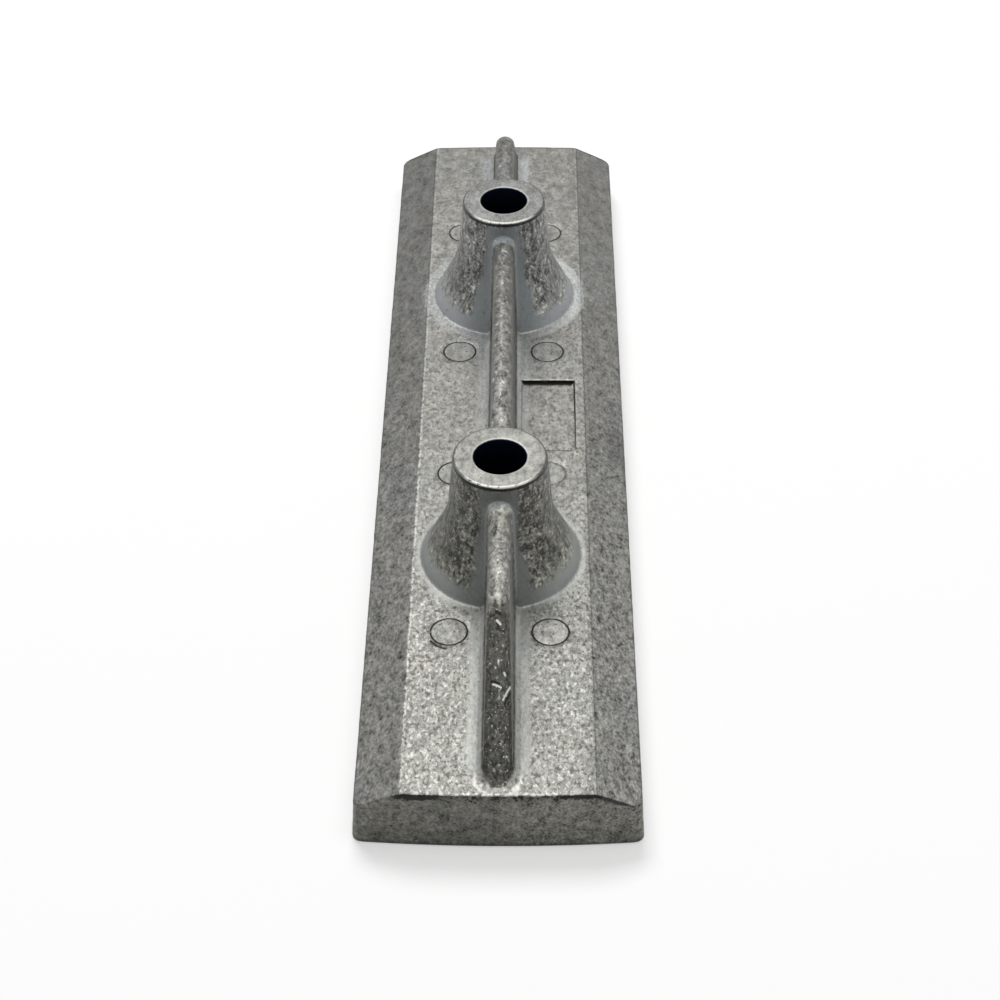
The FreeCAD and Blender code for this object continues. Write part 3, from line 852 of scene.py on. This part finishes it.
def bright_lines(finish, skin, at):
    """Bare metal at the nicks and painted highlights on the rims, the rib's toe and the edges of the face and the
    panel, as a share from 0 to 1.
    """
    x, y, z, across, along = at.x, at.y, at.z, at.across, at.along
    mottle, fine, torn = skin.mottle, skin.fine, skin.torn
    from_middle = y + BOSS_AT - y.between(-1.0, 1.0) * (2 * BOSS_AT)
    # painted highlights on the rounded rims of the boss faces and the bores, the face's edges, the rib's toe and the
    # panel's near rim
    rim = at.from_boss.between(8.5, 8.75) * at.from_boss.between(9.15, 9.08) * z.between(38.0, 38.2)
    rim = rim * from_middle.between(-5.0, -7.5) * (mottle + fine).between(-1.3, -0.3)
    bore_rim = at.from_boss.between(BORE + 0.7, BORE + 0.3) * at.top
    edge = abs(across - 17.35 - torn * 0.12).between(0.35, 0.1) * (mottle + fine).between(-0.6, 0.5)
    edge = edge * z.between(12.5, 12.7) * (0.25 + x.between(0.0, -5.0) * (1 - at.rear) * 0.75)
    front_edge = abs(along - 106.75 - torn * 0.1).between(0.5, 0.15) * z.between(12.75, 12.9)
    front_edge = front_edge * (skin.pimples + fine).between(-0.2, 0.5) * (1 - at.rear)
    toe = abs(at.from_rib - 1.5 - torn * 0.4).between(0.5, 0.1) * along.between(101.0, 103.5)
    toe = toe * z.between(13.4, 13.1) * z.between(12.8, 12.95) * (mottle + 0.6).between(-0.4, 0.6) * at.front
    panel_rim = abs(y - 11.95).between(0.3, 0.12) * x.between(3.6, 4.0) * x.between(15.9, 15.6) * at.face
    return reduce(Number.most, [finish.strokes(x, y, NICKS) * at.ramp, rim * 0.8, bore_rim * 0.3, edge * 0.6,
                                front_edge * 0.7, toe * 0.5, panel_rim * 0.3])


def cast_alloy():
    """As-cast alloy: its colour, then dark lines, bare metal with painted highlights, and the bores' walls painted
    near black as oxide and shade, over a fine relief.
    """
    finish = Finish("cast_alloy")
    place, axes = finish.place()
    skin = cast_patterns(finish, place)
    at = cast_zones(finish, skin, *axes)
    colour = cast_colour(finish, skin, at)
    for share, line in dark_lines(finish, skin, at):
        colour = finish.tinted(line * share, colour, DARK_LINE)
    # bare metal at the nicks and painted highlights on rims and edges
    colour = finish.tinted(bright_lines(finish, skin, at), colour, BARE_METAL_AND_HIGHLIGHT)
    # painted shade: the bores' walls go near black, as oxide and as the shade deep inside them, and turn fully
    # metallic
    colour = finish.tinted(at.inside, colour, BORE_OXIDE_AND_SHADE)
    relief = skin.mottle * 0.5 + skin.fine * 0.4 + skin.pores * 0.35 - skin.pimples * 0.2
    relief = relief * (1 - at.calm * 0.85) * (1 - at.inside)
    bump = finish.node("ShaderNodeBump", None, {"Strength": 0.5, "Distance": 0.00003, "Height": relief}).outputs[0]
    shader = finish.node("ShaderNodeBsdfPrincipled", None, {
        "Base Color": colour, "Metallic": 0.4 + at.inside * 0.6, "Specular IOR Level": 0.3, "Normal": bump,
        "Roughness": 0.46 + skin.fine * 0.05 - at.calm * 0.03}).outputs[0]
    return finish.closed(shader)


def seen_rays(finish):
    """1 for rays from the camera or by way of a reflection or a clear piece, 0 for the rest."""
    rays = finish.node("ShaderNodeLightPath").outputs
    kinds = ("Is Camera Ray", "Is Glossy Ray", "Is Transmission Ray")
    return reduce(Number.most, [Number(finish, rays[kind]) for kind in kinds])


def pale_floor():
    """The floor's own pale colour. Where it is seen it is lifted to near white, and far off it is plain white."""
    finish = Finish("pale_floor")
    x, y, _ = finish.place()[1]
    seen = seen_rays(finish)
    far = x.length_with(y).between(250.0, 800.0)
    paper = finish.node("ShaderNodeBsdfDiffuse", None, {"Color": PAPER}).outputs[0]
    added = finish.tinted(seen, BLACK, (FLOOR_LIFT, FLOOR_LIFT, FLOOR_LIFT, 1.0))
    lift, white = (finish.node("ShaderNodeEmission", None, {"Color": colour, "Strength": 1.0}).outputs[0]
                   for colour in (added, WHITE))
    lifted = finish.node("ShaderNodeAddShader", None, {0: paper, 1: lift}).outputs[0]
    return finish.closed(finish.node("ShaderNodeMixShader", None, {0: seen * far, 1: lifted, 2: white}).outputs[0])


# The set

def lay_floor():
    """A plain square floor under the casting, large enough for its edge to stay out of view."""
    half = 3.0
    mesh = bpy.data.meshes.new("floor")
    mesh.from_pydata([(-half, -half, 0), (half, -half, 0), (half, half, 0), (-half, half, 0)], [], [(0, 1, 2, 3)])
    floor = bpy.data.objects.new("floor", mesh)
    bpy.context.scene.collection.objects.link(floor)
    floor.data.materials.append(pale_floor())


def light_backdrop():
    """A pale surround: white where the camera or a reflection sees it, and a dim even light otherwise."""
    finish = Finish("surround", bpy.data.worlds)
    dim, bright = (finish.node("ShaderNodeBackground", None, {"Color": WHITE, "Strength": strength}).outputs[0]
                   for strength in (DIM_SURROUND, 1.0))
    mix = finish.node("ShaderNodeMixShader", None, {0: seen_rays(finish), 1: dim, 2: bright}).outputs[0]
    bpy.context.scene.world = finish.closed(mix, "ShaderNodeOutputWorld")


def hang_lamp(name, place, width, depth, power):
    """A rectangular lamp at that place, turned towards the middle of the casting."""
    lamp = bpy.data.lights.new(name, "AREA")
    lamp.shape = "RECTANGLE"
    lamp.size, lamp.size_y, lamp.energy = width, depth, power
    holder = bpy.data.objects.new(name, lamp)
    bpy.context.scene.collection.objects.link(holder)
    holder.location = place
    holder.rotation_euler = (LAMPS_AIM - Vector(place)).to_track_quat("-Z", "Y").to_euler()


def set_camera():
    """The camera found from the photograph: its place, where it looks, and a slight roll."""
    yaw, pitch, roll = (math.radians(angle) for angle in CAMERA_TURN)
    ahead = Vector((math.sin(yaw) * math.cos(pitch), math.cos(yaw) * math.cos(pitch), -math.sin(pitch)))
    level = Vector((math.cos(yaw), -math.sin(yaw), 0))
    upward = level.cross(ahead)
    right = level * math.cos(roll) + upward * math.sin(roll)
    top = upward * math.cos(roll) - level * math.sin(roll)
    lens = bpy.data.cameras.new("camera")
    lens.sensor_width, lens.lens, lens.clip_start = SENSOR_WIDTH, FOCAL_LENGTH, 0.01
    camera = bpy.data.objects.new("camera", lens)
    bpy.context.scene.collection.objects.link(camera)
    turn = Matrix((right, top, -ahead)).transposed().to_4x4()
    camera.matrix_world = Matrix.Translation(CAMERA_AT) @ turn
    bpy.context.scene.camera = camera


casting = make_casting()
casting.data.materials.append(cast_alloy())
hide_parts("anode_casting")
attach(casting, "root")

lay_floor()
light_backdrop()
for name, lamp in LAMPS.items():
    hang_lamp(name, *lamp)
set_camera()
bpy.context.scene.view_settings.view_transform = "Standard"
